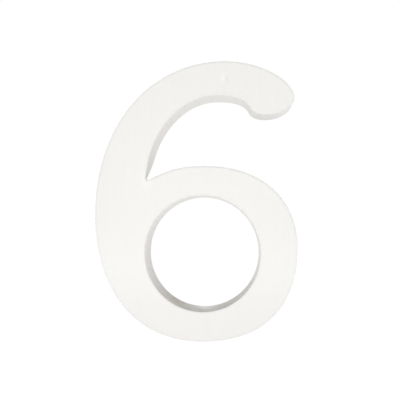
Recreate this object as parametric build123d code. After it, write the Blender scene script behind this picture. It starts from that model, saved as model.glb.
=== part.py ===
from build123d import *
import os
from math import copysign, cos, radians, sin

# A wooden house number, the numeral 6, sawn from one board. Sizes are in millimetres.
# The flat back lies on the wall plane y = 0 and the face looks along -Y. x = 0 is the upright axis of the
# round counter, and z = 0 is the foot, the lowest point of the bowl.

# Board
HEIGHT = 150.0                # from the foot to the crown
BOARD_THICKNESS = 18.0
ARRIS_BEVEL = 1.0             # taken off the front edge by sanding; the back edge stays as sawn
CROTCH_RADIUS = 0.8           # half the saw cut, in the corner where the bowl runs into the stem

# Strokes, from the counter or the hook out to the outline
COUNTER_DIAMETER = 62.0
FOOT_STROKE = 16.0
BOWL_SIDE_STROKE = 19.2
BOWL_TOP_STROKE = 15.6
STEM_STROKE = 27.5
CROWN_STROKE = 18.4

# Turning points of the outline: sideways from the counter's axis, or up from its centre
FOOT_OFFSET = -1.7
BOWL_SIDE_RISE = 3.3
BOWL_TOP_OFFSET = 1.0
STEM_BACK_RISE = 21.2
CROWN_OFFSET = 10.9
ARCH_OFFSET = 6.9

# Corner between the bowl and the stem
CROTCH_DROP = 8.4             # below the top of the bowl
SHOULDER_SLOPE = 27.0         # degrees, of the bowl's edge as it leaves the corner

# Rounded end of the hook
TIP_REACH = 49.0              # from the counter's axis to the end's side
TIP_SIDE_DROP = 20.8          # from the crown down to that side
TIP_DEPTH = 29.0              # from the crown down to the end's lowest point
TIP_HALF_WIDTH = 14.4         # from the end's side back to its lowest point
NOTCH_SETBACK = 9.2           # from the lowest point back to the notch
NOTCH_RISE = 3.6              # from the lowest point up to the notch
NOTCH_SLOPE = 65.0            # degrees, of the edge as it passes through the notch

# Fullness of each stretch: handle length over the side of its box. A quarter ellipse has 0.55
SHOULDER_FULLNESS = 0.42
BOWL_UPPER_FULLNESS = 0.61
BOWL_LOWER_FULLNESS = 0.64
BACK_LOWER_FULLNESS = 0.61
BACK_UPPER_FULLNESS = 0.58
CROWN_FULLNESS = 0.5
TIP_FULLNESS = 0.5
TIP_NOTCH_FULLNESS = 0.56
NOTCH_ARCH_FULLNESS = 0.64
ARCH_FULLNESS = 0.52

# Stopped nail hole in the face, which the paint has left as a shallow dimple
DIMPLE_DIAMETER = 4.4
DIMPLE_DEPTH = 0.5
DIMPLE_OFFSET = 12.6          # from the counter's axis
DIMPLE_DROP = 9.9             # from the crown

# Derived places
COUNTER_RADIUS = COUNTER_DIAMETER / 2
COUNTER_Z = FOOT_STROKE + COUNTER_RADIUS
BOWL_TOP_Z = FOOT_STROKE + COUNTER_DIAMETER + BOWL_TOP_STROKE
ARCH_Z = HEIGHT - CROWN_STROKE
DIMPLE_Z = HEIGHT - DIMPLE_DROP

FOOT = (FOOT_OFFSET, 0)
BOWL_SIDE = (COUNTER_RADIUS + BOWL_SIDE_STROKE, COUNTER_Z + BOWL_SIDE_RISE)
BOWL_TOP = (BOWL_TOP_OFFSET, BOWL_TOP_Z)
CROTCH = (-COUNTER_RADIUS, BOWL_TOP_Z - CROTCH_DROP)
STEM_BACK = (-COUNTER_RADIUS - STEM_STROKE, COUNTER_Z + STEM_BACK_RISE)
CROWN = (CROWN_OFFSET, HEIGHT)
ARCH = (ARCH_OFFSET, ARCH_Z)
TIP_SIDE = (TIP_REACH, HEIGHT - TIP_SIDE_DROP)
TIP_FOOT = (TIP_REACH - TIP_HALF_WIDTH, HEIGHT - TIP_DEPTH)
NOTCH = (TIP_FOOT[0] - NOTCH_SETBACK, TIP_FOOT[1] + NOTCH_RISE)


def swing(start, end, fullness, leaves, slope=90.0):
    """A quarter swing of the outline, level at one end and upright, or at a slope, at the other.

    It leaves start as leaves says, level or upright. Each handle is the fullness times its side of the box.
    """
    across = fullness * (end[0] - start[0])
    rise = fullness * (end[1] - start[1])
    lean = copysign(rise * cos(radians(slope)), across)
    climb = rise * sin(radians(slope))
    if leaves == "level":
        return Bezier(start, (start[0] + across, start[1]), (end[0] - lean, end[1] - climb), end)
    return Bezier(start, (start[0] + lean, start[1] + climb), (end[0] - across, end[1]), end)


def shoulder():
    """The bowl's edge from the crotch, where it slopes, to the top of the bowl, where it is level."""
    handle = SHOULDER_FULLNESS * (BOWL_TOP[0] - CROTCH[0])
    slope = radians(SHOULDER_SLOPE)
    leaving = (CROTCH[0] + handle * cos(slope), CROTCH[1] + handle * sin(slope))
    return Bezier(CROTCH, leaving, (BOWL_TOP[0] - handle, BOWL_TOP[1]), BOWL_TOP)


def outline():
    """The numeral's edge, round the bowl and the back to the crown, then under the hook to the crotch."""
    return Wire([
        shoulder(),
        swing(BOWL_TOP, BOWL_SIDE, BOWL_UPPER_FULLNESS, "level"),
        swing(BOWL_SIDE, FOOT, BOWL_LOWER_FULLNESS, "upright"),
        swing(FOOT, STEM_BACK, BACK_LOWER_FULLNESS, "level"),
        swing(STEM_BACK, CROWN, BACK_UPPER_FULLNESS, "upright"),
        swing(CROWN, TIP_SIDE, CROWN_FULLNESS, "level"),
        swing(TIP_SIDE, TIP_FOOT, TIP_FULLNESS, "upright"),
        swing(TIP_FOOT, NOTCH, TIP_NOTCH_FULLNESS, "level", NOTCH_SLOPE),
        swing(NOTCH, ARCH, NOTCH_ARCH_FULLNESS, "upright", NOTCH_SLOPE),
        swing(ARCH, CROTCH, ARCH_FULLNESS, "level"),
    ])


def numeral_face():
    """The numeral as a flat shape with its round counter, the crotch opened to the width of the saw."""
    blank = Face(outline())
    corner = blank.vertices().sort_by_distance((*CROTCH, 0))[0]
    blank = blank.fillet_2d(CROTCH_RADIUS, [corner])
    counter = Wire.make_circle(COUNTER_RADIUS, Plane((0, COUNTER_Z, 0)))
    return Face(blank.outer_wire(), [counter])


def dimple():
    """The ball whose cap is the dimple, with its centre in front of the face."""
    rim = DIMPLE_DIAMETER / 2
    ball_radius = (rim**2 + DIMPLE_DEPTH**2) / (2 * DIMPLE_DEPTH)
    centre_y = DIMPLE_DEPTH - ball_radius - BOARD_THICKNESS
    return Pos(DIMPLE_OFFSET, centre_y, DIMPLE_Z) * Sphere(ball_radius)


def numeral_six():
    """The board sawn to the numeral, with its front edge bevelled all round and the dimple in its face."""
    board = extrude(Plane.XZ * numeral_face(), BOARD_THICKNESS, dir=(0, -1, 0))
    front = board.faces().sort_by(Axis.Y)[0]
    board = chamfer(front.edges(), ARRIS_BEVEL)
    return board.cut(dimple())


os.makedirs("parts", exist_ok=True)
numeral = numeral_six()
numeral.label = "numeral_six"
export_step(numeral, "parts/numeral_six.step")
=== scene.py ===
"""Dresses a wooden house number, the numeral 6: its painted board, its finishes, the stage and the camera.

Lengths are in metres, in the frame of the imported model: +Z is up, the face looks along -Y, the flat back
lies on y = 0, x = 0 is the upright axis of the round counter and z = 0 is the foot of the bowl.
"""

from collections import namedtuple
from math import pi, radians
from types import SimpleNamespace

import bpy
import numpy as np
from bpy.props import FloatProperty, FloatVectorProperty, PointerProperty
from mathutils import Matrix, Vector
from mathutils.geometry import delaunay_2d_cdt


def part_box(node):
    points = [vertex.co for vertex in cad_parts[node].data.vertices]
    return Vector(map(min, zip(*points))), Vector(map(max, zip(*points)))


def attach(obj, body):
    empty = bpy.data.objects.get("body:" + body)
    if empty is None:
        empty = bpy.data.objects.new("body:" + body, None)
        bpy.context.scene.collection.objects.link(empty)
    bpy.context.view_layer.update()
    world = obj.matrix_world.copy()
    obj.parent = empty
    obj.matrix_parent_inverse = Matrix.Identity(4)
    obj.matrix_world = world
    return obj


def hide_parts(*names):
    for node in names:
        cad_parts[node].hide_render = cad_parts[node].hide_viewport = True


bl_info = {
    "name": "Wooden House Number",
    "version": (1, 0, 0),
    "blender": (4, 5, 0),
    "location": "3D View > Sidebar > House Number",
    "description": "Builds a numeral six sawn from a board and painted white, with its stage",
    "category": "Object",
}

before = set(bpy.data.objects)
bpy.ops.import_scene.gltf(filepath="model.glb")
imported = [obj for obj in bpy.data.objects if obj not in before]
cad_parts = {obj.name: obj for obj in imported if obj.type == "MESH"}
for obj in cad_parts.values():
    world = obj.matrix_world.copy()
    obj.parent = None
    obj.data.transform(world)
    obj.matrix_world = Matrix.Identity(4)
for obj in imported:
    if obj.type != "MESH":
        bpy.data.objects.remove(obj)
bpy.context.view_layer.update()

NODE = "numeral_six"
BODY = "root"
PIECE = "numeral_six_painted"

MM = 0.001
LOW, HIGH = (Vector(corner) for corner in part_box(NODE))

# Names that the mesh shares with its materials
EDGE_ATTRIBUTE = "edge_nearness"
RUN_MAP = "surface_run"
FACE, WALL, BACK = range(3)

# How finely the surfaces are worked out
CURVE_POINTS = 220            # along each stretch of the outline, before it is spaced evenly
COUNTER_POINTS = 1760         # round the counter, likewise
CORNER_POINTS = 24            # round the corner between bowl and stem
PATH_STEP = 0.5 * MM
TURN_REACH = 3.0 * MM         # added to the path's measure for each radian that it turns
FACE_STEP = 0.75 * MM
PATCH_STEP = 0.28 * MM        # round the dimple
PATCH_REACH = 0.6             # from the dimple's middle, over its height
BACK_STEP = 4.0 * MM
RING_GAP = 0.6                # a grid point keeps this share of a step away from the face's edge
SAME_POINT = 1e-6             # millimetres within which the filling takes two points for one
BACK_ROUND_ROWS = 4
WALL_ROWS = 9
FRONT_ROUND_ROWS = 8
BLOCK = 2000                  # points measured at a time against a whole loop
BOX_TOLERANCE = 0.5 * MM      # between the numeral's box and that of its solid

# Waves that hands and tools left, and the seeds that place them
WAVE_HEIGHTS = 0.4, 1.0       # the lowest and the highest round a loop, before they share its depth
SANDING_WAVES = (3, 7, 11)    # round a loop, in the width of the sanded edge
SAW_WAVES = (5, 9, 17)        # round a loop, in the depth of the walls
SHORT_WAVE = 12.0 * MM        # about the length of a shorter wave in both
FEWEST_SHORT_WAVES = 8
PLANING_WAVES = 6             # added up in the face
PLANING_LENGTHS = 26.0, 60.0  # millimetres, the shortest and the longest
PLANING_UP = 0.5              # how fast they change up the board, over how fast across it
FACE_SEED, OUTLINE_SEED, COUNTER_SEED = 7, 11, 23

# Grain, marks, grey, and dust with painted shade. A pair is the stretch of the noise over which they come to
# show in full
EDGE_MIDDLE = 0.7             # from the face's rim to the middle of the sanded edge, over that edge's width
GRAIN_STRETCH = (1.0, 1.0, 16.0)
GRAIN_WAVER = 0.35
MARK_WAVER = 0.2
FINER = 4.3                   # pores over growth lines, and bristles over brush marks
GROWTH_LINES = 0.38, 0.72
PORES = 0.5, 0.75
BRISTLES = 0.3, 0.7
GREY_PATCHES = 0.42, 0.72
GREY_PATCH_SIZE = 6.0 * MM
GREY_BETWEEN = 0.5            # share of the grey that stays between its patches
DUST_AND_SHADE_PATCHES = 0.3, 0.7
DUST_AND_SHADE_PATCH_SIZE = 8.0 * MM
DUST_AND_SHADE_BETWEEN = 0.25           # share of the dust and painted shade that stays between its patches
FACING_UP = 0.3, 0.95         # upward part of a normal, from where dust and painted shade begin to where they lie in full
GLOSS_CHANGE = 0.06           # of the roughness, either way, by the marks
DUST_AND_SHADE_DULLS = 0.3              # added to the roughness where the dust and painted shade cover all
BRISTLE_HEIGHT = 0.5          # over the height of brush marks
PAINT_IOR = 1.47
PAINT_SPECULAR = 0.4

ORIGIN = (0.0, 0.0, 0.0)
WHITE = (1.0, 1.0, 1.0, 1.0)
SENSOR_WIDTH = 36.0           # millimetres
NEAREST_SEEN = 10.0 * MM      # by the camera

# Soft spots of another colour in the coats: painted light, painted shade, and dirt mixed with painted shade.
# The shine is how far one lowers the roughness at its middle
Spot = namedtuple("Spot", "coat note place reach amount tint shine", defaults=(0.0,))
DIMPLE_SPOT_REACH = (0.00095, 0.01, 0.0019)
# Where painted light lightens the shaded corner between stem and bowl
CORNER_LIGHT_PLACE, CORNER_LIGHT_REACH = (-0.0305, -0.009, 0.087), (0.003, 0.03, 0.006)
SPOTS = {
    # Painted light: a lighter band across the lower face
    "lower_face_light": Spot(FACE, "the band where the coat is thickest", (0.0, -0.018, 0.038),
                       (0.2, 0.01, 0.019), 0.38, "filler"),
    # Painted highlight on the left flank of the dimple
    "dimple_left_light": Spot(FACE, "the filler in the dimple", (0.01086, -0.018, 0.1405),
                         DIMPLE_SPOT_REACH, 0.5, "filler"),
    # Painted shadow on the right flank of the dimple
    "dimple_right_shadow": Spot(FACE, "the nail's stain beside the filler", (0.0132, -0.018, 0.1405),
                       DIMPLE_SPOT_REACH, 0.24, "edge_paint"),
    # A grey line along the split, painted shade in its crack
    "split": Spot(FACE, "the filled split under the dimple", (0.0115, -0.018, 0.1325),
                  (0.0009, 0.01, 0.004), 0.1, "edge_paint"),
    # Painted light over the shaded corner between stem and bowl, on the face
    "front_corner_light": Spot(FACE, "the paint that pooled round the stem's corner", CORNER_LIGHT_PLACE,
                       CORNER_LIGHT_REACH, 0.4, "filler"),
    # Painted light over the shaded corner between stem and bowl, on the wall
    "pool": Spot(WALL, "the paint that pooled in the stem's corner", CORNER_LIGHT_PLACE, CORNER_LIGHT_REACH, 0.9, "filler"),
    # Painted light on the back part of the counter's foot, with lower roughness there
    "wiped": Spot(WALL, "the stretch of the counter's foot that is wiped clean", (0.0004, -0.001, 0.016),
                  (0.0085, 0.011, 0.004), 0.95, "filler", 0.68),
    # Partly dirt and partly painted shade in the lower left of the counter
    "soiled": Spot(WALL, "the dirt in the lower left of the counter", (-0.0175, -0.011, 0.021),
                   (0.009, 0.012, 0.008), 0.32, "dust"),
    # Painted shade on the counter's left wall
    "held": Spot(WALL, "the grey that fingers left on the counter's left side", (-0.0305, -0.009, 0.0455),
                 (0.007, 0.03, 0.03), 0.17, "edge_paint"),
    # Painted shade on the wall under the hook's end
    "handled": Spot(WALL, "the grey that hands left under the hook's end", (0.033, -0.002, 0.122),
                    (0.014, 0.013, 0.009), 0.42, "edge_paint"),
}


def length(label, note, default):
    """A property that holds a length, with its default in millimetres."""
    return FloatProperty(
        name=label, description=note, default=default * MM, subtype="DISTANCE", unit="LENGTH", precision=5)


def share(label, note, default, highest=1.0):
    """A property that holds a plain ratio."""
    return FloatProperty(
        name=label, description=note, default=default, subtype="FACTOR", min=0.0, max=highest)


def angle(label, note, default):
    """A property that holds an angle, with its default in degrees."""
    return FloatProperty(
        name=label, description=note, default=radians(default), subtype="ANGLE", unit="ROTATION")


def colour(label, note, default):
    """A property that holds a linear colour."""
    return FloatVectorProperty(
        name=label, description=note, default=default, subtype="COLOR", size=3, min=0.0, max=1.0)


def place(label, note, default):
    """A property that holds a place in the frame, or a length along each axis."""
    return FloatVectorProperty(
        name=label, description=note, default=default, subtype="TRANSLATION", unit="LENGTH", size=3,
        precision=5)


def stretch_fullness(label, default):
    """A property that holds how full a stretch of the outline is. A quarter ellipse has 0.55."""
    return share(f"{label} Fullness", "Handle over the side of the stretch's box", default)


def spot_properties():
    """Four properties for each soft spot: its place, its reach, its amount and its shine."""
    made = {}
    for name, spot in SPOTS.items():
        label = name.replace("_", " ").title()
        made |= {
            f"{name}_place": place(f"{label} Place", f"Middle of {spot.note}", spot.place),
            f"{name}_reach": place(f"{label} Reach", f"Along each axis, of {spot.note}", spot.reach),
            f"{name}_amount": share(f"{label} Amount", "Share of its colour at its middle", spot.amount),
            f"{name}_shine": share(f"{label} Shine", "How far it lowers the roughness there", spot.shine),
        }
    return made


class NumeralShape(bpy.types.PropertyGroup):
    """Sizes of the numeral. The overall ones come from the frame, and the rest divide them."""

    height: length("Height", "From the foot to the crown", (HIGH.z - LOW.z) / MM)
    thickness: length("Thickness", "Of the board", (HIGH.y - LOW.y) / MM)
    back_reach: length("Back Reach", "From the counter's axis out to the back of the stem", -LOW.x / MM)
    bowl_reach: length("Bowl Reach", "From the counter's axis out to the side of the bowl", HIGH.x / MM)

    counter_diameter: length("Counter Diameter", "Of the round opening in the bowl", 62.0)
    foot_stroke: length("Foot Stroke", "From the counter down to the foot", 16.0)
    bowl_top_stroke: length("Bowl Top Stroke", "From the counter up to the top of the bowl", 15.6)
    crown_stroke: length("Crown Stroke", "From the arch of the hook up to the crown", 18.4)

    foot_offset: length("Foot Offset", "From the counter's axis to the lowest point", -1.7)
    bowl_side_rise: length("Bowl Side Rise", "From the counter's centre up to the bowl's widest point", 3.3)
    bowl_top_offset: length("Bowl Top Offset", "From the counter's axis to the top of the bowl", 1.0)
    back_rise: length("Back Rise", "From the counter's centre up to the stem's widest point", 21.2)
    crown_offset: length("Crown Offset", "From the counter's axis to the highest point", 10.9)
    arch_offset: length("Arch Offset", "From the counter's axis to the top of the arch", 6.9)

    crotch_drop: length("Crotch Drop", "From the top of the bowl down to its corner with the stem", 8.0)
    crotch_inset: length("Crotch Inset", "From below the counter's left side in to that corner", 0.45)
    crotch_trim: length("Crotch Trim", "Cut back from that corner on both sides to round it", 2.4)
    shoulder_slope: angle("Shoulder Slope", "Of the bowl's edge as it leaves that corner", 27.0)

    tip_reach: length("Tip Reach", "From the counter's axis out to the side of the hook's end", 49.0)
    tip_side_drop: length("Tip Side Drop", "From the crown down to that side", 20.8)
    tip_depth: length("Tip Depth", "From the crown down to the end's lowest point", 29.0)
    tip_half_width: length("Tip Half Width", "From the end's side back to its lowest point", 14.4)
    notch_setback: length("Notch Setback", "From the end's lowest point back to the notch", 9.2)
    notch_rise: length("Notch Rise", "From the end's lowest point up to the notch", 3.6)
    notch_slope: angle("Notch Slope", "Of the edge as it passes through the notch", 65.0)

    shoulder_fullness: stretch_fullness("Shoulder", 0.42)
    bowl_upper_fullness: stretch_fullness("Upper Bowl", 0.61)
    bowl_lower_fullness: stretch_fullness("Lower Bowl", 0.64)
    back_lower_fullness: stretch_fullness("Lower Back", 0.61)
    back_upper_fullness: stretch_fullness("Upper Back", 0.58)
    crown_fullness: stretch_fullness("Crown", 0.5)
    tip_fullness: stretch_fullness("Tip", 0.5)
    tip_notch_fullness: stretch_fullness("Tip to Notch", 0.56)
    notch_arch_fullness: stretch_fullness("Notch to Arch", 0.64)
    arch_fullness: stretch_fullness("Arch", 0.535)


class BoardSurface(bpy.types.PropertyGroup):
    """What the saw, the sandpaper, the nail and the brush have left on the board."""

    front_round: length("Front Round", "Width of the sanded front edge", 0.4)
    front_round_change: share("Front Round Change", "How far hand sanding varies that width", 0.25)
    front_round_power: share("Front Round Power", "1 is a round edge and 2 a flat bevel", 1.1, 2.0)
    # The grey at the front edge is partly wear and partly painted shade where the edge turns away
    edge_reach: length("Edge Reach", "How far the grey of handling goes from the middle of that edge", 0.8)
    back_round: length("Back Round", "Radius that sawing and paint leave on the back edge", 0.25)
    saw_wander: length("Saw Wander", "Depth of the waves that the saw left in the walls", 0.06)
    saw_lean: length("Saw Lean", "How far the blade leaned under the stem at its corner with the bowl", 3.2)
    corner_ease: length("Corner Ease", "Added to the front edge's width on the stem at that corner", 1.2)
    corner_reach: length("Corner Reach", "How far up the stem the lean and the wider edge go", 7.0)
    counter_slip: place("Counter Slip", "How far the saw set the counter's front edge off its mark",
                        (-0.00022, 0.0, -0.00016))
    counter_slant: place("Counter Slant", "How far its back edge lies off from its front edge",
                         (0.0, 0.0, -0.0004))
    counter_taper: length("Counter Taper", "How much shorter its radius is at the back", 0.3)

    dimple_offset: length("Dimple Offset", "From the counter's axis", 12.1)
    dimple_drop: length("Dimple Drop", "From the crown", 9.7)
    dimple_width: length("Dimple Width", "Of the stopped nail hole, across the grain", 4.6)
    dimple_height: length("Dimple Height", "Of the stopped nail hole, along the grain", 7.5)
    dimple_depth: length("Dimple Depth", "At its middle", 0.15)
    face_waves: length("Face Waves", "Depth of the slow waves that planing left in the face", 0.05)


class PaintFinish(bpy.types.PropertyGroup):
    """Colours and textures of the paint, and the colours of its painted light and painted shade."""

    paint: colour("Paint", "The full coat on the face", (0.882, 0.871, 0.846))
    wall_paint: colour("Wall Paint", "The coat that soaked into the sawn walls", (0.88, 0.87, 0.848))
    back_paint: colour("Back Paint", "The single coat on the back", (0.80, 0.775, 0.72))
    thin_paint: colour("Thin Paint", "Where wood warms the coat from below", (0.74, 0.68, 0.58))
    # Grey of the worn front edge and of painted shade: beside the dimple, in the split, on the counter's left
    # wall and under the hook's end
    edge_paint: colour("Edge Paint", "Where handling has greyed the edge", (0.64, 0.64, 0.655))
    # Painted light: the lighter colour of the band on the lower face, the dimple's lit flank, the corner
    # between stem and bowl and the back of the counter's foot
    filler: colour("Filler", "Over the nail, where the coat is thickest", (0.97, 0.965, 0.945))
    # Dust, and the painted shade of surfaces that face up, in one colour
    dust: colour("Dust", "Settled on what faces up", (0.55, 0.50, 0.43))

    grain_pitch: length("Grain Pitch", "Across the wood's growth lines", 2.4)
    brush_pitch: length("Brush Pitch", "Between the marks of the brush", 0.5)
    saw_pitch: length("Saw Pitch", "Between the marks of the saw's teeth", 0.9)
    brush_relief: length("Brush Relief", "Height of grain and brush marks in the face", 0.014)
    saw_relief: length("Saw Relief", "Height of the saw's marks in the walls", 0.07)
    back_relief: length("Back Relief", "Height of grain and brush marks in the back", 0.024)


class PaintSpots(bpy.types.PropertyGroup):
    """Places, reaches and strengths of the soft spots in the paint, most of them painted light and painted
    shade.
    """

    __annotations__ = spot_properties()


class StageLayout(bpy.types.PropertyGroup):
    """The camera, the floor and the light."""

    camera_place: place("Camera Place", "Where the camera stands", (0.0195, -0.2857, 0.06905))
    camera_aim: place("Camera Aim", "The point on the face in the middle of the picture",
                      (-0.0013, -0.018, 0.07545))
    camera_lens: FloatProperty(
        name="Camera Lens", description="Focal length for a sensor 36 mm wide", default=45.18,
        subtype="DISTANCE_CAMERA", unit="CAMERA")
    floor_side: length("Floor Side", "Of the square floor", 6000.0)
    floor_colour: colour("Floor Colour", "Of the pale floor", (0.9, 0.9, 0.9))
    floor_glow: share("Floor Glow", "Strength of the white that the floor gives by itself", 1.1, 4.0)
    floor_bounce: share("Floor Bounce", "Strength of what the floor throws back at the object", 1.0, 4.0)
    floor_shadow: share("Floor Shadow", "Share of the floor's white that shadows can take away", 0.14)
    white_level: share("White Level", "Strength of the white that the camera and gloss see past the floor",
                       1.01, 4.0)
    sky_level: share("Room Light", "Strength of the room's light at the horizon", 0.78, 4.0)
    sky_dim: share("Dim Light", "Strength of the room's light from its dimmest side", 0.27, 4.0)
    backdrop: share("Backdrop", "Added to the room's light by the white backdrop behind the object", 0.3, 4.0)
    dim_side: FloatVectorProperty(
        name="Dim Side", description="Direction of the room's dimmest side", default=(0.0, 0.0, 1.0),
        subtype="DIRECTION")
    key_place: place("Key Place", "Middle of the soft lamp", (-0.03, -0.42, 0.015))
    key_aim: place("Key Aim", "What that lamp faces", (0.0, -0.018, 0.045))
    key_side: length("Key Side", "Of that square lamp", 250.0)
    key_power: FloatProperty(name="Key Power", description="Of that lamp", default=0.8, unit="POWER")
    rake_place: place("Rake Place", "Middle of the small lamp on the right", (0.75, -0.10, 0.24))
    rake_aim: place("Rake Aim", "What that lamp faces", (0.0, -0.018, 0.1))
    rake_side: length("Rake Side", "Of that square lamp", 160.0)
    rake_power: FloatProperty(name="Rake Power", description="Of that lamp", default=0.5, unit="POWER")


def as_point(x, z):
    """A point of the flat outline."""
    return np.array((x, z), dtype=float)


def turning_points(shape):
    """The places where the outline is level or upright, each added up from strokes, rises and offsets."""
    radius = shape.counter_diameter / 2
    counter_z = shape.foot_stroke + radius
    bowl_top_z = shape.foot_stroke + shape.counter_diameter + shape.bowl_top_stroke
    tip_foot = as_point(shape.tip_reach - shape.tip_half_width, shape.height - shape.tip_depth)
    return SimpleNamespace(
        counter=as_point(0.0, counter_z),
        foot=as_point(shape.foot_offset, 0.0),
        bowl_side=as_point(shape.bowl_reach, counter_z + shape.bowl_side_rise),
        bowl_top=as_point(shape.bowl_top_offset, bowl_top_z),
        crotch=as_point(shape.crotch_inset - radius, bowl_top_z - shape.crotch_drop),
        stem_back=as_point(-shape.back_reach, counter_z + shape.back_rise),
        crown=as_point(shape.crown_offset, shape.height),
        arch=as_point(shape.arch_offset, shape.height - shape.crown_stroke),
        tip_side=as_point(shape.tip_reach, shape.height - shape.tip_side_drop),
        tip_foot=tip_foot,
        notch=tip_foot + (-shape.notch_setback, shape.notch_rise),
    )


def swing(start, end, fullness, leaves, slope=pi / 2):
    """Control points of a quarter swing, level at one end and at a slope, mostly upright, at the other.

    Each handle is the fullness times its side of the box between the ends.
    """
    across, rise = fullness * (end - start)
    lean = np.copysign(rise * np.cos(slope), across)
    climb = rise * np.sin(slope)
    if leaves == "level":
        return start, start + (across, 0.0), end - (lean, climb), end
    return start, start + (lean, climb), end - (across, 0.0), end


def shoulder(shape, points):
    """Control points of the bowl's edge, which slopes at the crotch and is level at the top of the bowl."""
    handle = shape.shoulder_fullness * (points.bowl_top[0] - points.crotch[0])
    leaving = points.crotch + handle * np.array((np.cos(shape.shoulder_slope), np.sin(shape.shoulder_slope)))
    return points.crotch, leaving, points.bowl_top - (handle, 0.0), points.bowl_top


def trace(stretches, count):
    """Points along a chain of cubic Bezier curves.

    At t from 0 to 1, the four control points are weighted by the Bernstein terms (1-t)^3, 3t(1-t)^2,
    3t^2(1-t) and t^3.
    """
    t = np.linspace(0.0, 1.0, count, endpoint=False)
    weights = np.stack(((1 - t) ** 3, 3 * t * (1 - t) ** 2, 3 * t**2 * (1 - t), t**3))
    return np.einsum("kt,skx->stx", weights, np.array(stretches)).reshape(-1, 2)


def run_along(loop):
    """Distance along a closed loop at each point, and once more at its start when it closes."""
    steps = np.linalg.norm(np.roll(loop, -1, axis=0) - loop, axis=1)
    return np.concatenate(((0.0,), np.cumsum(steps)))


def spaced(loop, step):
    """A closed loop with its points at even steps of length plus turning, so sharp turns get more of them."""
    sides = np.roll(loop, -1, axis=0) - loop
    heading = np.arctan2(sides[:, 1], sides[:, 0])
    turn = np.abs((heading - np.roll(heading, 1) + pi) % (2 * pi) - pi)
    measure = np.concatenate(((0.0,), np.cumsum(np.linalg.norm(sides, axis=1) + TURN_REACH * turn)))
    closed = np.vstack((loop, loop[:1]))
    at = np.linspace(0.0, measure[-1], int(round(measure[-1] / step)), endpoint=False)
    return np.stack([np.interp(at, measure, closed[:, axis]) for axis in (0, 1)], axis=1)


def solid_on_left(loop, solid_inside):
    """The loop turned so that the wood lies on its left, found from the sign of its shoelace area."""
    x, z = loop.T
    area = np.sum(x * np.roll(z, -1) - z * np.roll(x, -1)) / 2
    return loop if (area > 0) == solid_inside else loop[::-1].copy()


def outline_loop(shape, points):
    """The numeral's edge: ten swings from the crotch round the bowl, the back, the crown and the hook.

    The corner at the crotch is cut back and joined by a parabola whose middle control point is the corner.
    """
    chain = trace((
        shoulder(shape, points),
        swing(points.bowl_top, points.bowl_side, shape.bowl_upper_fullness, "level"),
        swing(points.bowl_side, points.foot, shape.bowl_lower_fullness, "upright"),
        swing(points.foot, points.stem_back, shape.back_lower_fullness, "level"),
        swing(points.stem_back, points.crown, shape.back_upper_fullness, "upright"),
        swing(points.crown, points.tip_side, shape.crown_fullness, "level"),
        swing(points.tip_side, points.tip_foot, shape.tip_fullness, "upright"),
        swing(points.tip_foot, points.notch, shape.tip_notch_fullness, "level", shape.notch_slope),
        swing(points.notch, points.arch, shape.notch_arch_fullness, "upright", shape.notch_slope),
        swing(points.arch, points.crotch, shape.arch_fullness, "level"),
    ), CURVE_POINTS)
    run = run_along(chain)
    kept = chain[(run[:-1] > shape.crotch_trim) & (run[:-1] < run[-1] - shape.crotch_trim)]
    t = np.linspace(0.0, 1.0, CORNER_POINTS)[1:-1, None]
    corner = kept[-1] * (1 - t) ** 2 + points.crotch * 2 * t * (1 - t) + kept[0] * t**2
    return solid_on_left(spaced(np.vstack((kept, corner)), PATH_STEP), solid_inside=True)


def counter_loop(shape, points):
    """The edge of the round counter: its centre plus its radius times the cosine and sine of the turn."""
    turn = np.linspace(0.0, 2 * pi, COUNTER_POINTS, endpoint=False)
    circle = points.counter + shape.counter_diameter / 2 * np.stack((np.cos(turn), np.sin(turn)), axis=1)
    return solid_on_left(spaced(circle, PATH_STEP), solid_inside=False)


def into_the_wood(loop):
    """Unit normals that point into the wood: the direction along the loop turned a quarter to the left."""
    along = np.roll(loop, -1, axis=0) - np.roll(loop, 1, axis=0)
    along /= np.linalg.norm(along, axis=1, keepdims=True)
    return np.stack((-along[:, 1], along[:, 0]), axis=1)


def slow_waves(run, waves, seed):
    """A smooth random line between -1 and 1 that closes on itself.

    It is a sum of cosines with whole numbers of waves round the loop, each at a random height and place.
    """
    draw = np.random.default_rng(seed)
    height = draw.uniform(*WAVE_HEIGHTS, len(waves))
    shift = draw.uniform(0.0, 2 * pi, len(waves))
    round_loop = 2 * pi * run[:-1, None] / run[-1]
    return np.cos(round_loop * np.array(waves) + shift) @ height / height.sum()


def edge_section(shape, surface, front_round):
    """The board's section from the back to the face: its inset and depth, with a column for each place.

    The back edge is a quarter circle, the wall is straight, and the front edge is a quarter of a
    superellipse: inset 1 - cos(a)^p and depth sin(a)^p, times the width that the sandpaper left there.
    """
    columns = np.ones_like(front_round)
    turn = np.linspace(0.0, pi / 2, BACK_ROUND_ROWS)[:, None]
    back_inset = surface.back_round * (1 - np.sin(turn)) * columns
    back_depth = surface.back_round * (1 - np.cos(turn)) * columns
    front_start = shape.thickness - front_round
    climb = np.linspace(0.0, 1.0, WALL_ROWS + 1)[1:-1, None]
    wall_depth = surface.back_round + climb * (front_start - surface.back_round)
    turn = np.linspace(0.0, pi / 2, FRONT_ROUND_ROWS)[:, None]
    power = surface.front_round_power
    front_inset = front_round * (1 - np.cos(turn).clip(0.0) ** power)
    front_depth = front_start + front_round * np.sin(turn) ** power
    inset = np.vstack((back_inset, np.zeros_like(wall_depth), front_inset))
    depth = np.vstack((back_depth, wall_depth, front_depth))
    return inset, depth


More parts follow.
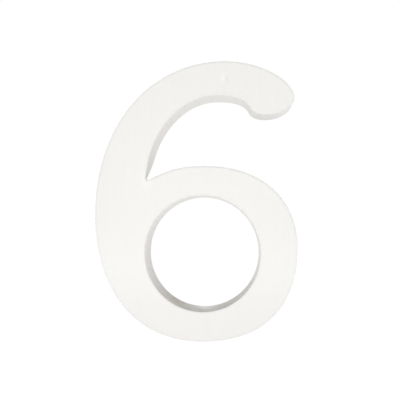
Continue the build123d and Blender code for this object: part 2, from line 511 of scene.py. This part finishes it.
def face_relief(shape, surface, x, z):
    """Depth of the face below the board's front plane, at places x, z.

    It adds up slow waves and the dimple, a bowl (1 - q^2)^1.5 with q from 0 at its middle to 1 at its oval
    rim. The waves are a mean of cosines, each with its own random lengths across and up the board.
    """
    dimple_z = shape.height - surface.dimple_drop
    across = (x - surface.dimple_offset) / surface.dimple_width
    q = 2 * np.hypot(across, (z - dimple_z) / surface.dimple_height)
    dimple = surface.dimple_depth * (1 - q**2).clip(0.0) ** 1.5

    draw = np.random.default_rng(FACE_SEED)
    lengths = MM * draw.uniform(*PLANING_LENGTHS, (2, PLANING_WAVES))
    waves = 2 * pi / lengths * np.sign(draw.uniform(-1.0, 1.0, (2, PLANING_WAVES)))
    shift = draw.uniform(0.0, 2 * pi, PLANING_WAVES)
    slow = np.cos(x[..., None] * waves[0] + z[..., None] * PLANING_UP * waves[1] + shift).mean(axis=-1)
    return surface.face_waves * (0.5 + 0.5 * slow) + dimple


def skirt(shape, surface, loop, seed, slip=(0.0, 0.0), slant=(0.0, 0.0), taper=0.0):
    """The wall round one loop: the section carried along it, each row moved into the wood by its inset.

    The wall also wanders by slow waves that the saw left, and leans under the stem near the crotch. Both go
    into the wood, so the board keeps its size. The lean and the wider front edge there are bell curves of
    the distance from the crotch, for walls that face right. A slip moves the whole wall, and the lean, the
    slant and the taper grow evenly from nothing at the face to their full size at the back. The face's
    relief fades out down the wall over twice the width of the front edge.
    """
    run = run_along(loop)
    normal = into_the_wood(loop)
    short_waves = max(int(run[-1] / SHORT_WAVE), FEWEST_SHORT_WAVES)
    change = slow_waves(run, (*SANDING_WAVES, short_waves), seed)
    from_crotch = np.linalg.norm(loop - turning_points(shape).crotch, axis=1) / surface.corner_reach
    at_corner = np.exp(-(from_crotch**2)) * (-normal[:, 0]).clip(0.0)
    sanded = surface.front_round * (1 + surface.front_round_change * change)
    inset, depth = edge_section(shape, surface, sanded + surface.corner_ease * at_corner)
    wander = slow_waves(run, (*SAW_WAVES, short_waves, 2 * short_waves, 3 * short_waves), seed + 1)
    behind = 1 - depth / shape.thickness
    inset = inset + surface.saw_wander * (0.5 + 0.5 * wander)
    inset = inset + (surface.saw_lean * at_corner - taper) * behind
    flat = loop + inset[..., None] * normal + slip + behind[..., None] * slant
    near_front = ((depth - shape.thickness) / (2 * surface.front_round) + 1).clip(0.0, 1.0)
    y = -depth + near_front * face_relief(shape, surface, flat[..., 0], flat[..., 1])
    grid = np.stack((flat[..., 0], y, flat[..., 1]), axis=-1)
    climbed = np.cumsum(np.linalg.norm(np.diff(grid, axis=0, prepend=grid[:1]), axis=-1), axis=0)
    return SimpleNamespace(grid=grid, run=run, climbed=climbed)


def nearest_distance(points, loops):
    """Distance from each point to the nearest point of the loops, a block of points at a time."""
    edge = np.vstack(loops)
    blocks = np.array_split(points, max(len(points) // BLOCK, 1))
    return np.concatenate([np.linalg.norm(block[:, None] - edge, axis=2).min(axis=1) for block in blocks])


def inside_the_wood(points, loops):
    """Which points lie in the wood: those from which a level ray crosses the loops an odd number of times."""
    start = np.vstack(loops)
    end = np.vstack([np.roll(loop, -1, axis=0) for loop in loops])
    slant = (end[:, 0] - start[:, 0]) / np.where(end[:, 1] == start[:, 1], np.inf, end[:, 1] - start[:, 1])

    def crossings(block):
        x, z = block[:, 0, None], block[:, 1, None]
        spans = (start[:, 1] > z) != (end[:, 1] > z)
        return (spans & (x < start[:, 0] + (z - start[:, 1]) * slant)).sum(axis=1)

    blocks = np.array_split(points, max(len(points) // BLOCK, 1))
    return np.concatenate([crossings(block) for block in blocks]) % 2 == 1


def square_grid(low, high, step):
    """The points of a square grid between two corners."""
    x, z = np.meshgrid(np.arange(low[0], high[0], step), np.arange(low[1], high[1], step))
    return np.stack((x.ravel(), z.ravel()), axis=1)


def within(points, low, high):
    """Which points lie in the box between two corners."""
    return ((points > low) & (points < high)).all(axis=1)


def cap_points(loops, step, patch=None):
    """Grid points inside the loops and clear of them, closer together in the patch, a pair of corners."""
    low, high = loops[0].min(axis=0), loops[0].max(axis=0)
    points = square_grid(low + step / 2, high, step)
    clear = RING_GAP * step
    if patch is not None:
        margin = step / 2
        points = points[~within(points, patch[0] - margin, patch[1] + margin)]
        points = np.vstack((points, square_grid(*patch, PATCH_STEP)))
    points = points[inside_the_wood(points, loops)]
    return points[nearest_distance(points, loops) > clear]


def filled(loops, points):
    """Triangles over the loops and the points between them, by a Delaunay division that keeps the loops."""
    flat = np.vstack((*loops, points))
    starts = np.cumsum([0] + [len(loop) for loop in loops])
    sides = []
    for first, loop in zip(starts, loops):
        here = np.arange(len(loop))
        sides.append(first + np.stack((here, np.roll(here, -1)), axis=1))
    inside_the_sides = 1
    made = delaunay_2d_cdt((flat / MM).tolist(), np.vstack(sides).tolist(), [], inside_the_sides, SAME_POINT)
    if len(made[0]) != len(flat):
        raise RuntimeError(f"The face's filling has {len(made[0])} points, not {len(flat)}")
    source = np.array(made[3])[:, 0]
    triangles = source[np.array(made[2])]
    triangles = triangles[inside_the_wood(flat[triangles].mean(axis=1), loops)]
    a, b, c = (flat[triangles[:, corner]] for corner in range(3))
    turned = (b - a)[:, 0] * (c - a)[:, 1] - (b - a)[:, 1] * (c - a)[:, 0] < 0
    triangles[turned] = triangles[turned][:, ::-1]
    return triangles


def skirt_quads(rows, columns, first):
    """Vertex numbers of the quads between neighbouring rows and columns of a wall that closes on itself."""
    row, column = np.meshgrid(np.arange(rows - 1), np.arange(columns), indexing="ij")
    ahead = (column + 1) % columns
    corners = (row, column), (row, ahead), (row + 1, ahead), (row + 1, column)
    return first + np.stack([r * columns + c for r, c in corners], axis=-1)


def skirt_map(wall):
    """Map coordinates of the same quads: distance along the loop, and distance up the section."""
    columns = len(wall.run) - 1
    along = np.stack((wall.run[:-1], wall.run[1:], wall.run[1:], wall.run[:-1]), axis=-1)
    along = np.broadcast_to(along, (len(wall.climbed) - 1, columns, 4))
    ahead = np.roll(wall.climbed, -1, axis=1)
    up = np.stack((wall.climbed[:-1], ahead[:-1], ahead[1:], wall.climbed[1:]), axis=-1)
    return np.stack((along, up), axis=-1)


def build_mesh(name, vertices, faces, maps, finishes, nearness):
    """A mesh from whole arrays: vertices, groups of faces with equal corners, and values for each."""
    corners = np.concatenate([group.ravel() for group in faces])
    sizes = np.concatenate([np.full(len(group), group.shape[1]) for group in faces])
    starts = np.concatenate(((0,), np.cumsum(sizes)[:-1]))
    mesh = bpy.data.meshes.new(name)
    mesh.vertices.add(len(vertices))
    mesh.vertices.foreach_set("co", vertices.ravel())
    mesh.loops.add(len(corners))
    mesh.loops.foreach_set("vertex_index", corners.astype(np.int32))
    mesh.polygons.add(len(sizes))
    mesh.polygons.foreach_set("loop_start", starts.astype(np.int32))
    mesh.polygons.foreach_set("material_index", np.concatenate(finishes).astype(np.int32))
    layer = mesh.uv_layers.new(name=RUN_MAP)
    layer.uv.foreach_set("vector", np.concatenate([part.reshape(-1, 2) for part in maps]).ravel())
    edge = mesh.attributes.new(EDGE_ATTRIBUTE, "FLOAT", "POINT")
    edge.data.foreach_set("value", nearness)
    mesh.update(calc_edges=True)
    mesh.shade_smooth()
    if mesh.validate():
        raise RuntimeError(f"The mesh {name} had faces that had to be mended")
    return mesh


def board_mesh(shape, surface):
    """The whole board: a wall round the outline and one round the counter, closed by the face and the back.

    The nearness to the front edge, for its grey, falls off as exp(-d^2), with d the distance from the middle
    of the sanded edge over its reach.
    """
    points = turning_points(shape)
    walls = [
        skirt(shape, surface, outline_loop(shape, points), OUTLINE_SEED),
        skirt(shape, surface, counter_loop(shape, points), COUNTER_SEED, surface.counter_slip.xz,
              surface.counter_slant.xz, surface.counter_taper),
    ]
    front = [wall.grid[-1][:, (0, 2)] for wall in walls]
    back = [wall.grid[0][:, (0, 2)] for wall in walls]
    dimple = as_point(surface.dimple_offset, shape.height - surface.dimple_drop)
    reach = surface.dimple_height * PATCH_REACH
    patch = dimple - reach, dimple + reach
    face_flat = cap_points(front, FACE_STEP, patch)
    back_flat = cap_points(back, BACK_STEP)
    face_y = face_relief(shape, surface, face_flat[:, 0], face_flat[:, 1]) - shape.thickness
    face_grid = np.stack((face_flat[:, 0], face_y, face_flat[:, 1]), axis=1)
    back_grid = np.stack((back_flat[:, 0], np.zeros(len(back_flat)), back_flat[:, 1]), axis=1)

    blocks = [wall.grid.reshape(-1, 3) for wall in walls] + [face_grid, back_grid]
    first = np.cumsum([0] + [len(block) for block in blocks])
    vertices = np.vstack(blocks)

    rows = len(walls[0].grid)
    last_rows = [first[i] + (rows - 1) * len(front[i]) + np.arange(len(front[i])) for i in range(2)]
    first_rows = [first[i] + np.arange(len(back[i])) for i in range(2)]
    face_order = np.concatenate((*last_rows, first[2] + np.arange(len(face_flat))))
    back_order = np.concatenate((*first_rows, first[3] + np.arange(len(back_flat))))
    face_faces = face_order[filled(front, face_flat)]
    back_faces = back_order[filled(back, back_flat)][:, ::-1]

    faces, maps, finishes, nearness = [], [], [], []
    for i, wall in enumerate(walls):
        quads = skirt_quads(rows, len(front[i]), first[i])
        faces.append(quads.reshape(-1, 4))
        maps.append(skirt_map(wall))
        front_part = np.arange(rows - 1) >= rows - FRONT_ROUND_ROWS
        finishes.append(np.repeat(np.where(front_part, FACE, WALL), len(front[i])))
        middle = wall.climbed[rows - 1 - FRONT_ROUND_ROWS // 2]
        nearness.append(np.exp(-(((wall.climbed - middle) / surface.edge_reach) ** 2)).ravel())
    for group, finish in ((face_faces, FACE), (back_faces, BACK)):
        faces.append(group)
        maps.append(vertices[group][..., (0, 2)])
        finishes.append(np.full(len(group), finish))
    from_edge = nearest_distance(face_flat, front) + EDGE_MIDDLE * surface.front_round
    nearness.append(np.exp(-((from_edge / surface.edge_reach) ** 2)))
    nearness.append(np.zeros(len(back_flat)))
    return build_mesh(PIECE, vertices, faces, maps, finishes, np.concatenate(nearness))


def feed(tree, socket, value):
    """Links an input to another socket, or sets its value."""
    if isinstance(value, bpy.types.NodeSocket):
        tree.links.new(value, socket)
    else:
        socket.default_value = value


def put(tree, kind, inputs=None, **settings):
    """A new node with its settings and inputs."""
    node = tree.nodes.new(kind)
    for name, value in settings.items():
        setattr(node, name, value)
    for name, value in (inputs or {}).items():
        feed(tree, node.inputs[name], value)
    return node


def reckon(tree, operation, first, second):
    """A Math node's result for two values or sockets."""
    return put(tree, "ShaderNodeMath", {0: first, 1: second}, operation=operation).outputs[0]


def reckon_vector(tree, operation, first, second):
    """A Vector Math node's outputs for two vectors or sockets."""
    return put(tree, "ShaderNodeVectorMath", {0: first, 1: second}, operation=operation).outputs


def noise(tree, at, scale, detail, roughness, waver=0.0):
    """Fractal noise read at a vector."""
    inputs = {"Vector": at, "Scale": scale, "Detail": detail, "Roughness": roughness, "Distortion": waver}
    return put(tree, "ShaderNodeTexNoise", inputs).outputs["Fac"]


def ranged(tree, value, given, wanted, curve="LINEAR"):
    """A value carried from one range to another, each a pair of its ends, and held inside it."""
    ends = dict(zip(("From Min", "From Max", "To Min", "To Max"), (*given, *wanted)))
    return put(
        tree, "ShaderNodeMapRange", {"Value": value, **ends}, clamp=True, interpolation_type=curve,
    ).outputs["Result"]


def blend(tree, factor, first, second):
    """A colour between two."""
    node = put(tree, "ShaderNodeMix", data_type="RGBA")
    for name, value in (("Factor_Float", factor), ("A_Color", first), ("B_Color", second)):
        feed(tree, next(found for found in node.inputs if found.identifier == name), value)
    return next(found for found in node.outputs if found.identifier == "Result_Color")


def emptied(block):
    """The node tree of a new material or world, with nothing in it yet."""
    block.use_nodes = True
    block.node_tree.nodes.clear()
    return block.node_tree


def new_group(name, inputs, outputs):
    """A shader node group, and the sockets of the nodes inside it that take its inputs and its outputs.

    An input whose default is one number is a value, and any other is a vector. The outputs are values.
    """
    tree = bpy.data.node_groups.new(name, "ShaderNodeTree")
    for label, default in inputs.items():
        kind = "NodeSocketFloat" if isinstance(default, float) else "NodeSocketVector"
        socket = tree.interface.new_socket(name=label, in_out="INPUT", socket_type=kind)
        socket.default_value = default
    for label in outputs:
        tree.interface.new_socket(name=label, in_out="OUTPUT", socket_type="NodeSocketFloat")
    return tree, put(tree, "NodeGroupInput").outputs, put(tree, "NodeGroupOutput").inputs


def streaks_group():
    """Long streaks: noise read at coordinates over a pitch, and along each axis over a stretch as well.

    Coarse is the streaks themselves and Fine is the same at a finer pitch, for pores or single bristles.
    """
    inputs = {"Vector": ORIGIN, "Pitch": 2.0 * MM, "Stretch": GRAIN_STRETCH, "Waver": GRAIN_WAVER}
    tree, given, out = new_group("streaks", inputs, ("Coarse", "Fine"))
    per_pitch = reckon(tree, "DIVIDE", 1.0, given["Pitch"])
    scaled = put(tree, "ShaderNodeVectorMath", {0: given["Vector"], "Scale": per_pitch}, operation="SCALE")
    at = reckon_vector(tree, "DIVIDE", scaled.outputs[0], given["Stretch"])[0]
    coarse = noise(tree, at, scale=1.0, detail=3.0, roughness=0.55, waver=given["Waver"])
    fine = noise(tree, at, scale=FINER, detail=2.0, roughness=0.6, waver=given["Waver"])
    tree.links.new(coarse, out["Coarse"])
    tree.links.new(fine, out["Fine"])
    return tree


def greyed_edge_group():
    """A grey band along the front edge, partly wear and partly painted shade where the edge turns away: the
    nearness to it, part of which is broken up by noise.
    """
    inputs = {"Vector": ORIGIN, "Nearness": 0.0, "Patch Size": GREY_PATCH_SIZE, "Amount": 0.5}
    tree, given, out = new_group("greyed_edge", inputs, ("Mask",))
    per_patch = reckon(tree, "DIVIDE", 1.0, given["Patch Size"])
    patches = noise(tree, given["Vector"], per_patch, detail=4.0, roughness=0.6)
    broken = ranged(tree, patches, GREY_PATCHES, (GREY_BETWEEN, 1.0))
    greyed = reckon(tree, "MULTIPLY", given["Nearness"], broken)
    tree.links.new(reckon(tree, "MULTIPLY", greyed, given["Amount"]), out["Mask"])
    return tree


def spot_group():
    """A soft spot: exp(-d^2), with d the distance from its centre over its reach along each axis."""
    inputs = {"Vector": ORIGIN, "Centre": ORIGIN, "Reach": (MM, MM, MM), "Amount": 0.5}
    tree, given, out = new_group("soft_spot", inputs, ("Mask",))
    away = reckon_vector(tree, "SUBTRACT", given["Vector"], given["Centre"])[0]
    d = reckon_vector(tree, "DIVIDE", away, given["Reach"])[0]
    square = reckon_vector(tree, "DOT_PRODUCT", d, d)["Value"]
    bell = reckon(tree, "POWER", np.exp(-1.0), square)
    tree.links.new(reckon(tree, "MULTIPLY", bell, given["Amount"]), out["Mask"])
    return tree


def dust_and_shade_group():
    """Dust, and painted shade on what faces up: how far the surface faces up, broken up by soft noise."""
    inputs = {"Vector": ORIGIN, "Patch Size": DUST_AND_SHADE_PATCH_SIZE, "Amount": 0.5}
    # The group holds dust and painted shade, which darken what faces up
    tree, given, out = new_group("settled_dust", inputs, ("Mask",))
    geometry = put(tree, "ShaderNodeNewGeometry")
    up = put(tree, "ShaderNodeSeparateXYZ", {0: geometry.outputs["True Normal"]}).outputs["Z"]
    facing = ranged(tree, up, FACING_UP, (0.0, 1.0))
    per_patch = reckon(tree, "DIVIDE", 1.0, given["Patch Size"])
    soft = noise(tree, given["Vector"], per_patch, detail=5.0, roughness=0.65)
    broken = ranged(tree, soft, DUST_AND_SHADE_PATCHES, (DUST_AND_SHADE_BETWEEN, 1.0))
    settled = reckon(tree, "MULTIPLY", facing, broken)
    tree.links.new(reckon(tree, "MULTIPLY", settled, given["Amount"]), out["Mask"])
    return tree


def use(tree, group, **inputs):
    """One of the shared groups placed in a material."""
    return put(tree, "ShaderNodeGroup", {name.replace("_", " "): value for name, value in inputs.items()},
               node_tree=group).outputs


def opaque(rgb):
    """A colour property with full alpha."""
    return (*rgb, 1.0)


def paint_material(name, finish, groups, look):
    """A coat of paint over wood, with grain and brush or saw marks, and any grey edge, dust and soft spots,
    which also paint light and shade.

    The colour goes from the coat towards thin paint where the grain shows through, and then towards grey at
    the edge, dust and each spot's colour by their masks. The grey edge is partly wear and partly painted
    shade, the dust also paints shade on what faces up, and the spots are painted light and painted shade, one
    of them partly dirt and one along a real split. The relief is the grain plus the marks. The marks change
    the gloss, dust dulls it, and a spot that shines raises it.
    """
    material = bpy.data.materials.new(name)
    tree = emptied(material)
    at = put(tree, "ShaderNodeTexCoord").outputs["Object"]
    run = put(tree, "ShaderNodeUVMap", uv_map=RUN_MAP).outputs["UV"] if look.marks_follow_edge else at
    grain = use(tree, groups.streaks, Vector=at, Pitch=finish.grain_pitch, Stretch=GRAIN_STRETCH,
                Waver=GRAIN_WAVER)
    marks = use(tree, groups.streaks, Vector=run, Pitch=look.mark_pitch, Stretch=look.mark_stretch,
                Waver=MARK_WAVER)
    lines = ranged(tree, grain["Coarse"], GROWTH_LINES, (0.0, look.grain_shows))
    pores = ranged(tree, grain["Fine"], PORES, (0.0, look.grain_shows))
    base = blend(tree, reckon(tree, "ADD", lines, pores), opaque(look.coat), opaque(finish.thin_paint))
    glossy, dull = look.roughness - GLOSS_CHANGE, look.roughness + GLOSS_CHANGE
    rough = ranged(tree, marks["Fine"], BRISTLES, (glossy, dull))
    # The grey edge is partly wear and partly painted shade
    if look.greyed:
        near = put(tree, "ShaderNodeAttribute", attribute_name=EDGE_ATTRIBUTE).outputs["Fac"]
        mask = use(tree, groups.greyed_edge, Vector=at, Nearness=near, Patch_Size=GREY_PATCH_SIZE,
                   Amount=look.greyed)["Mask"]
        base = blend(tree, mask, base, opaque(finish.edge_paint))
    # Dust and painted shade darken what faces up, and the dust dulls it
    if look.dust:
        mask = use(tree, groups.dust, Vector=at, Patch_Size=DUST_AND_SHADE_PATCH_SIZE, Amount=look.dust)["Mask"]
        base = blend(tree, mask, base, opaque(finish.dust))
        rough = reckon(tree, "ADD", rough, reckon(tree, "MULTIPLY", mask, DUST_AND_SHADE_DULLS))
    for spot in look.spots:
        mask = use(tree, groups.spot, Vector=at, Centre=spot.place, Reach=spot.reach,
                   Amount=spot.amount)["Mask"]
        base = blend(tree, mask, base, opaque(spot.tint))
        if spot.shine:
            rough = reckon(tree, "SUBTRACT", rough, reckon(tree, "MULTIPLY", mask, spot.shine))

    ridges = reckon(tree, "ADD", marks["Coarse"], reckon(tree, "MULTIPLY", marks["Fine"], BRISTLE_HEIGHT))
    height = reckon(tree, "ADD", reckon(tree, "MULTIPLY", grain["Coarse"], look.grain_relief), ridges)
    bump = put(tree, "ShaderNodeBump", {"Height": height, "Distance": look.relief, "Strength": 1.0})
    paint = put(tree, "ShaderNodeBsdfPrincipled", {
        "Base Color": base, "Roughness": rough, "Normal": bump.outputs[0], "IOR": PAINT_IOR,
        "Specular IOR Level": PAINT_SPECULAR})
    put(tree, "ShaderNodeOutputMaterial", {"Surface": paint.outputs[0]})
    return material


def spots_on(coat, finish, spots):
    """The soft spots of one coat, with the values that the settings give them."""
    return [
        SimpleNamespace(
            tint=getattr(finish, spot.tint),
            **{part: getattr(spots, f"{name}_{part}") for part in ("place", "reach", "amount", "shine")})
        for name, spot in SPOTS.items() if spot.coat == coat
    ]


def paint_finishes(finish, spots):
    """The three coats: a full one on the face, one that soaked into the walls, and a thin one on the back."""
    groups = SimpleNamespace(
        streaks=streaks_group(), greyed_edge=greyed_edge_group(), spot=spot_group(), dust=dust_and_shade_group())
    face = SimpleNamespace(
        coat=finish.paint, grain_shows=0.05, greyed=0.36, dust=0.0, roughness=0.42,
        marks_follow_edge=False, mark_pitch=finish.brush_pitch, mark_stretch=(1.0, 1.0, 40.0),
        grain_relief=1.2, relief=finish.brush_relief, spots=spots_on(FACE, finish, spots))
    # On the walls, dust and painted shade darken what faces up
    wall = SimpleNamespace(
        coat=finish.wall_paint, grain_shows=0.12, greyed=0.2, dust=0.52, roughness=0.85,
        marks_follow_edge=True, mark_pitch=finish.saw_pitch, mark_stretch=(1.0, 14.0, 1.0),
        grain_relief=0.8, relief=finish.saw_relief, spots=spots_on(WALL, finish, spots))
    back = SimpleNamespace(
        coat=finish.back_paint, grain_shows=0.35, greyed=0.0, dust=0.0, roughness=0.62,
        marks_follow_edge=False, mark_pitch=finish.brush_pitch, mark_stretch=(1.0, 1.0, 30.0),
        grain_relief=1.6, relief=finish.back_relief, spots=spots_on(BACK, finish, spots))
    return [
        paint_material("face_paint", finish, groups, face),
        paint_material("wall_paint", finish, groups, wall),
        paint_material("back_paint", finish, groups, back),
    ]


def add_object(context, name, data):
    """A new object in the scene, at the origin."""
    obj = bpy.data.objects.new(name, data)
    context.scene.collection.objects.link(obj)
    return obj


def floor_material(stage):
    """A pale floor that glows like a light table, with a small share of its white from the light on it.

    That share is where the object's shadow shows, so the shadow stays faint.
    """
    material = bpy.data.materials.new("pale_floor")
    tree = emptied(material)
    lit = put(tree, "ShaderNodeBsdfDiffuse", {"Color": opaque(stage.floor_colour)}).outputs[0]
    scattered = put(tree, "ShaderNodeLightPath").outputs["Is Diffuse Ray"]
    strength = ranged(tree, scattered, (0.0, 1.0), (stage.floor_glow, stage.floor_bounce))
    glow = put(tree, "ShaderNodeEmission", {"Color": WHITE, "Strength": strength}).outputs[0]
    mixed = put(tree, "ShaderNodeMixShader", {0: 1 - stage.floor_shadow, 1: lit, 2: glow})
    put(tree, "ShaderNodeOutputMaterial", {"Surface": mixed.outputs[0]})
    return material


def world_light(stage):
    """White to the camera and in gloss, and for other light a soft room that gets dimmer towards one side.

    Its strength falls as a smooth step of the cosine of the angle to that side. A white backdrop adds to it
    in proportion to how far a direction points away from the camera, along +Y.
    """
    world = bpy.data.worlds.new("soft_room")
    tree = emptied(world)
    direction = put(tree, "ShaderNodeTexCoord").outputs["Generated"]
    dim_side = Vector(stage.dim_side).normalized()
    towards_dim = reckon_vector(tree, "DOT_PRODUCT", direction, dim_side)["Value"]
    away = put(tree, "ShaderNodeSeparateXYZ", {0: direction}).outputs["Y"]
    walls = ranged(tree, towards_dim, (0.0, 1.0), (stage.sky_level, stage.sky_dim), "SMOOTHSTEP")
    backdrop = ranged(tree, away, (0.0, 1.0), (0.0, stage.backdrop))
    strength = reckon(tree, "ADD", walls, backdrop)
    room = put(tree, "ShaderNodeBackground", {"Color": WHITE, "Strength": strength})
    white = put(tree, "ShaderNodeBackground", {"Color": WHITE, "Strength": stage.white_level})
    path = put(tree, "ShaderNodeLightPath").outputs
    seen = reckon(tree, "MAXIMUM", path["Is Camera Ray"],
                  reckon(tree, "MAXIMUM", path["Is Glossy Ray"], path["Is Transmission Ray"]))
    mixed = put(tree, "ShaderNodeMixShader", {0: seen, 1: room.outputs[0], 2: white.outputs[0]})
    put(tree, "ShaderNodeOutputWorld", {"Surface": mixed.outputs[0]})
    return world


def aim(obj, start, target):
    """Puts a camera or lamp in its place, looking along its own -Z at the target with its top up."""
    obj.location = start
    obj.rotation_euler = (Vector(target) - Vector(start)).to_track_quat("-Z", "Y").to_euler()


class HOUSENUMBER_OT_numeral(bpy.types.Operator):
    """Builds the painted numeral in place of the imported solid"""

    bl_idname = "house_number.numeral"
    bl_label = "Build Numeral"

    def execute(self, context):
        scene = context.scene
        mesh = board_mesh(scene.numeral_shape, scene.board_surface)
        for material in paint_finishes(scene.paint_finish, scene.paint_spots):
            mesh.materials.append(material)
        numeral = add_object(context, PIECE, mesh)
        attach(numeral, BODY)
        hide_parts(NODE)
        corners = np.array([corner[:] for corner in numeral.bound_box])
        off = max(np.abs(corners.min(axis=0) - LOW).max(), np.abs(corners.max(axis=0) - HIGH).max())
        if off > BOX_TOLERANCE:
            raise RuntimeError(f"The numeral is {off / MM:.2f} mm off the box of its solid")
        return {"FINISHED"}


class HOUSENUMBER_OT_stage(bpy.types.Operator):
    """Sets the floor, the light and the camera round the numeral"""

    bl_idname = "house_number.stage"
    bl_label = "Set Stage"

    def execute(self, context):
        scene = context.scene
        stage = scene.stage_layout
        half = stage.floor_side / 2
        mesh = bpy.data.meshes.new("floor")
        corners = [(-half, -half, 0.0), (half, -half, 0.0), (half, half, 0.0), (-half, half, 0.0)]
        mesh.from_pydata(corners, [], [range(4)])
        mesh.materials.append(floor_material(stage))
        add_object(context, "floor", mesh)

        for name in ("key", "rake"):
            lamp = bpy.data.lights.new(f"{name}_lamp", "AREA")
            lamp.size = getattr(stage, f"{name}_side")
            lamp.energy = getattr(stage, f"{name}_power")
            stand = add_object(context, lamp.name, lamp)
            stand.visible_camera = False
            aim(stand, getattr(stage, f"{name}_place"), getattr(stage, f"{name}_aim"))
        scene.world = world_light(stage)

        camera = bpy.data.cameras.new("photo_camera")
        camera.lens = stage.camera_lens
        camera.sensor_width = SENSOR_WIDTH
        camera.clip_start = NEAREST_SEEN
        scene.camera = add_object(context, "photo_camera", camera)
        aim(scene.camera, stage.camera_place, stage.camera_aim)
        scene.view_settings.view_transform = "Standard"
        return {"FINISHED"}


class HOUSENUMBER_PT_panel(bpy.types.Panel):
    """Lists the steps and the sizes of the house number"""

    bl_idname = "HOUSENUMBER_PT_panel"
    bl_label = "House Number"
    bl_space_type = "VIEW_3D"
    bl_region_type = "UI"
    bl_category = "House Number"

    def draw(self, context):
        column = self.layout.column(align=True)
        column.operator(HOUSENUMBER_OT_numeral.bl_idname)
        column.operator(HOUSENUMBER_OT_stage.bl_idname)
        for group in SETTINGS:
            box = self.layout.box()
            values = getattr(context.scene, group)
            for name in SETTINGS[group].__annotations__:
                box.prop(values, name)


SETTINGS = {
    "numeral_shape": NumeralShape,
    "board_surface": BoardSurface,
    "paint_finish": PaintFinish,
    "paint_spots": PaintSpots,
    "stage_layout": StageLayout,
}
CLASSES = (*SETTINGS.values(), HOUSENUMBER_OT_numeral, HOUSENUMBER_OT_stage, HOUSENUMBER_PT_panel)


def register():
    """Registers the classes and puts the settings on the scene."""
    for cls in CLASSES:
        bpy.utils.register_class(cls)
    for name, cls in SETTINGS.items():
        setattr(bpy.types.Scene, name, PointerProperty(type=cls))


def unregister():
    """Takes the settings and the classes away again."""
    for name in SETTINGS:
        delattr(bpy.types.Scene, name)
    for cls in reversed(CLASSES):
        bpy.utils.unregister_class(cls)


def main():
    """Builds the numeral and its stage."""
    register()
    bpy.ops.house_number.numeral()
    bpy.ops.house_number.stage()


if __name__ == "__main__":
    main()
